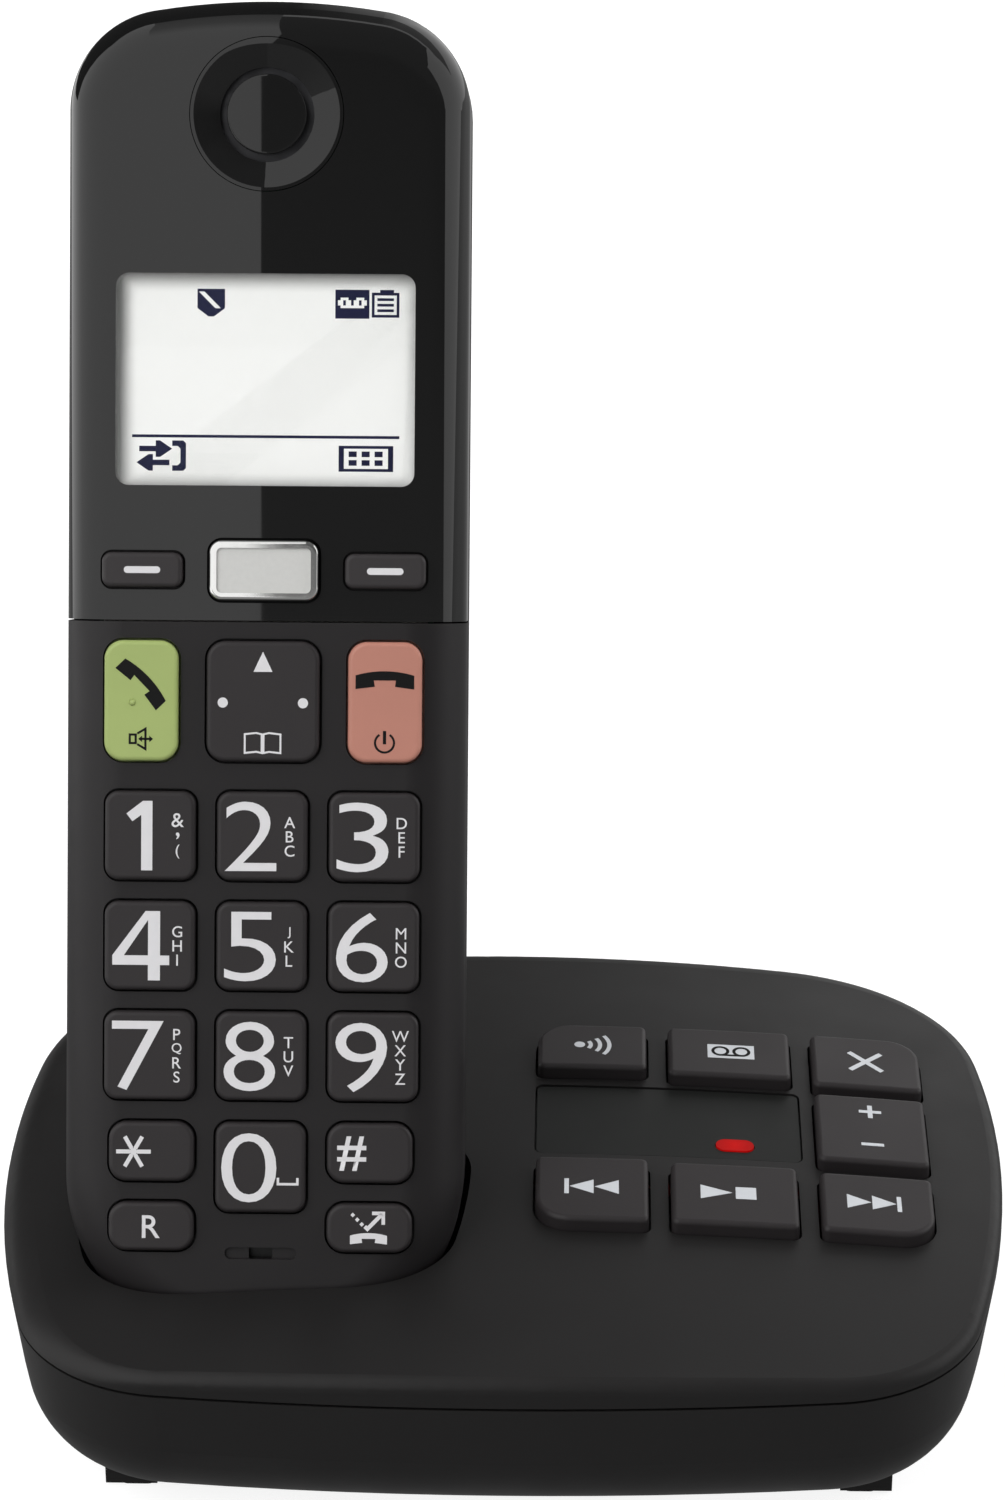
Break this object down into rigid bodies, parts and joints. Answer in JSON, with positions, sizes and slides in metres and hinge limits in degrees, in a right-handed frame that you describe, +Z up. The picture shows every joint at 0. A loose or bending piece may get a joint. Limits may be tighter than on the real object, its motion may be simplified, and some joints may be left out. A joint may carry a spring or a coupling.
{
  "type": "telephone answering machine",
  "caption": "Low oval answering-machine base with message keys and a cradle that holds a big-key cordless handset, leaning back.",
  "frame": {"origin": "on the table, under the middle of the base between the widest points of its sides", "axes": "+X to the right, +Y to the back, +Z up; the handset leans back towards +Y"},
  "size_m": [0.1234, 0.1057, 0.1604],
  "materials": {
    "base_key_plastic": "satin charcoal keys with painted icons",
    "base_plastic": "fine matt charcoal moulding",
    "board": "green circuit board",
    "bright_trim": "bright plated frame",
    "call_green": "satin green key",
    "cell_sleeve": "rechargeable cell in a printed sleeve",
    "display": "display module with a light face",
    "ear_cap": "polished earpiece cap",
    "end_salmon": "satin salmon key",
    "foot_rubber": "soft foot pads",
    "gloss_face": "polished black faceplate",
    "handset_plastic": "fine matt black moulding",
    "key_plastic": "satin black keys with painted figures",
    "lens": "clear display window",
    "light_pipe": "clear red light pipe",
    "mat": "soft key mat",
    "silver_cap": "silver painted cap",
    "socket_plastic": "socket body",
    "speaker_metal": "speaker basket and magnet",
    "spring_metal": "plated contact metal",
    "steel": "plain steel",
    "window_plastic": "smoked window panel"
  },
  "bodies": {
    "base": {"ballast_plate": "steel", "base_board": "board", "base_cover": "base_plastic", "base_key_mat": "mat", "base_screws": "steel", "base_tub": "base_plastic", "charge_springs": "spring_metal", "cradle_well": "base_plastic", "line_socket": "socket_plastic", "loudspeaker": "speaker_metal", "message_light": "light_pipe", "power_socket": "socket_plastic", "rubber_feet": "foot_rubber", "window_panel": "window_plastic"},
    "handset": {"back_cover": "handset_plastic", "battery_1": "cell_sleeve", "battery_2": "cell_sleeve", "battery_contacts": "spring_metal", "charge_pads": "spring_metal", "display_lens": "lens", "display_module": "display", "earpiece_cap": "ear_cap", "earpiece_dish": "gloss_face", "faceplate": "gloss_face", "front_cover": "handset_plastic", "handset_board": "board", "handset_key_mat": "mat", "handset_screws": "steel", "microphone": "speaker_metal", "receiver_capsule": "speaker_metal", "ringer_speaker": "speaker_metal"},
    "battery_door": {"battery_door": "handset_plastic"},
    "paging_key": {"paging_key": "base_key_plastic"},
    "answer_key": {"answer_key": "base_key_plastic"},
    "delete_key": {"delete_key": "base_key_plastic"},
    "volume_key": {"volume_key": "base_key_plastic"},
    "previous_key": {"previous_key": "base_key_plastic"},
    "play_key": {"play_key": "base_key_plastic"},
    "next_key": {"next_key": "base_key_plastic"},
    "call_key": {"call_key": "call_green"},
    "digit_key_0": {"digit_key_0": "key_plastic"},
    "digit_key_1": {"digit_key_1": "key_plastic"},
    "digit_key_2": {"digit_key_2": "key_plastic"},
    "digit_key_3": {"digit_key_3": "key_plastic"},
    "digit_key_4": {"digit_key_4": "key_plastic"},
    "digit_key_5": {"digit_key_5": "key_plastic"},
    "digit_key_6": {"digit_key_6": "key_plastic"},
    "digit_key_7": {"digit_key_7": "key_plastic"},
    "digit_key_8": {"digit_key_8": "key_plastic"},
    "digit_key_9": {"digit_key_9": "key_plastic"},
    "divert_key": {"divert_key": "key_plastic"},
    "end_key": {"end_key": "end_salmon"},
    "hash_key": {"hash_key": "key_plastic"},
    "menu_key": {"menu_key_frame": "bright_trim", "menu_key_cap": "silver_cap"},
    "nav_key": {"nav_key": "key_plastic"},
    "recall_key": {"recall_key": "key_plastic"},
    "soft_key_left": {"soft_key_left": "key_plastic"},
    "soft_key_right": {"soft_key_right": "key_plastic"},
    "star_key": {"star_key": "key_plastic"}
  },
  "joints": [
    {"name": "handset_lift", "type": "slide", "parent": "base", "child": "handset", "axis": [0, 0.4384, 0.8988], "range_m": [0, 0.06]},
    {"name": "battery_door_lift", "type": "slide", "parent": "handset", "child": "battery_door", "axis": [0, 0.8988, -0.4384], "range_m": [0, 0.01]},
    {"name": "paging_press", "type": "slide", "parent": "base", "child": "paging_key", "axis": [0, 0, -1], "range_m": [0, 0.0005], "stiffness_N_per_m": 1200},
    {"name": "answer_press", "type": "slide", "parent": "base", "child": "answer_key", "axis": [0, 0, -1], "range_m": [0, 0.0005], "stiffness_N_per_m": 1200},
    {"name": "delete_press", "type": "slide", "parent": "base", "child": "delete_key", "axis": [0, 0, -1], "range_m": [0, 0.0005], "stiffness_N_per_m": 1200},
    {"name": "volume_rock", "type": "hinge", "parent": "base", "child": "volume_key", "pos_m": [0.04555, -0.0005, 0.0228], "axis": [1, 0, 0], "range_deg": [-1.5, 1.5], "stiffness_Nm_per_rad": 0.12},
    {"name": "previous_press", "type": "slide", "parent": "base", "child": "previous_key", "axis": [0, 0, -1], "range_m": [0, 0.0005], "stiffness_N_per_m": 1200},
    {"name": "play_press", "type": "slide", "parent": "base", "child": "play_key", "axis": [0, 0, -1], "range_m": [0, 0.0005], "stiffness_N_per_m": 1200},
    {"name": "next_press", "type": "slide", "parent": "base", "child": "next_key", "axis": [0, 0, -1], "range_m": [0, 0.0005], "stiffness_N_per_m": 1200},
    {"name": "call_press", "type": "slide", "parent": "handset", "child": "call_key", "axis": [0, 0.8988, -0.4384], "range_m": [0, 0.0005], "stiffness_N_per_m": 1200},
    {"name": "digit_press_0", "type": "slide", "parent": "handset", "child": "digit_key_0", "axis": [0, 0.8988, -0.4384], "range_m": [0, 0.0005], "stiffness_N_per_m": 1200},
    {"name": "digit_press_1", "type": "slide", "parent": "handset", "child": "digit_key_1", "axis": [0, 0.8988, -0.4384], "range_m": [0, 0.0005], "stiffness_N_per_m": 1200},
    {"name": "digit_press_2", "type": "slide", "parent": "handset", "child": "digit_key_2", "axis": [0, 0.8988, -0.4384], "range_m": [0, 0.0005], "stiffness_N_per_m": 1200},
    {"name": "digit_press_3", "type": "slide", "parent": "handset", "child": "digit_key_3", "axis": [0, 0.8988, -0.4384], "range_m": [0, 0.0005], "stiffness_N_per_m": 1200},
    {"name": "digit_press_4", "type": "slide", "parent": "handset", "child": "digit_key_4", "axis": [0, 0.8988, -0.4384], "range_m": [0, 0.0005], "stiffness_N_per_m": 1200},
    {"name": "digit_press_5", "type": "slide", "parent": "handset", "child": "digit_key_5", "axis": [0, 0.8988, -0.4384], "range_m": [0, 0.0005], "stiffness_N_per_m": 1200},
    {"name": "digit_press_6", "type": "slide", "parent": "handset", "child": "digit_key_6", "axis": [0, 0.8988, -0.4384], "range_m": [0, 0.0005], "stiffness_N_per_m": 1200},
    {"name": "digit_press_7", "type": "slide", "parent": "handset", "child": "digit_key_7", "axis": [0, 0.8988, -0.4384], "range_m": [0, 0.0005], "stiffness_N_per_m": 1200},
    {"name": "digit_press_8", "type": "slide", "parent": "handset", "child": "digit_key_8", "axis": [0, 0.8988, -0.4384], "range_m": [0, 0.0005], "stiffness_N_per_m": 1200},
    {"name": "digit_press_9", "type": "slide", "parent": "handset", "child": "digit_key_9", "axis": [0, 0.8988, -0.4384], "range_m": [0, 0.0005], "stiffness_N_per_m": 1200},
    {"name": "divert_press", "type": "slide", "parent": "handset", "child": "divert_key", "axis": [0, 0.8988, -0.4384], "range_m": [0, 0.0005], "stiffness_N_per_m": 1200},
    {"name": "end_press", "type": "slide", "parent": "handset", "child": "end_key", "axis": [0, 0.8988, -0.4384], "range_m": [0, 0.0005], "stiffness_N_per_m": 1200},
    {"name": "hash_press", "type": "slide", "parent": "handset", "child": "hash_key", "axis": [0, 0.8988, -0.4384], "range_m": [0, 0.0005], "stiffness_N_per_m": 1200},
    {"name": "menu_press", "type": "slide", "parent": "handset", "child": "menu_key", "axis": [0, 0.8988, -0.4384], "range_m": [0, 0.0005], "stiffness_N_per_m": 1200},
    {"name": "nav_rock", "type": "hinge", "parent": "handset", "child": "nav_key", "pos_m": [-0.0283, -0.00019, 0.08736], "axis": [1, 0, 0], "range_deg": [-1.8, 1.8], "stiffness_Nm_per_rad": 0.12},
    {"name": "recall_press", "type": "slide", "parent": "handset", "child": "recall_key", "axis": [0, 0.8988, -0.4384], "range_m": [0, 0.0005], "stiffness_N_per_m": 1200},
    {"name": "soft_press_left", "type": "slide", "parent": "handset", "child": "soft_key_left", "axis": [0, 0.8988, -0.4384], "range_m": [0, 0.0005], "stiffness_N_per_m": 1200},
    {"name": "soft_press_right", "type": "slide", "parent": "handset", "child": "soft_key_right", "axis": [0, 0.8988, -0.4384], "range_m": [0, 0.0005], "stiffness_N_per_m": 1200},
    {"name": "star_press", "type": "slide", "parent": "handset", "child": "star_key", "axis": [0, 0.8988, -0.4384], "range_m": [0, 0.0005], "stiffness_N_per_m": 1200}
  ]
}
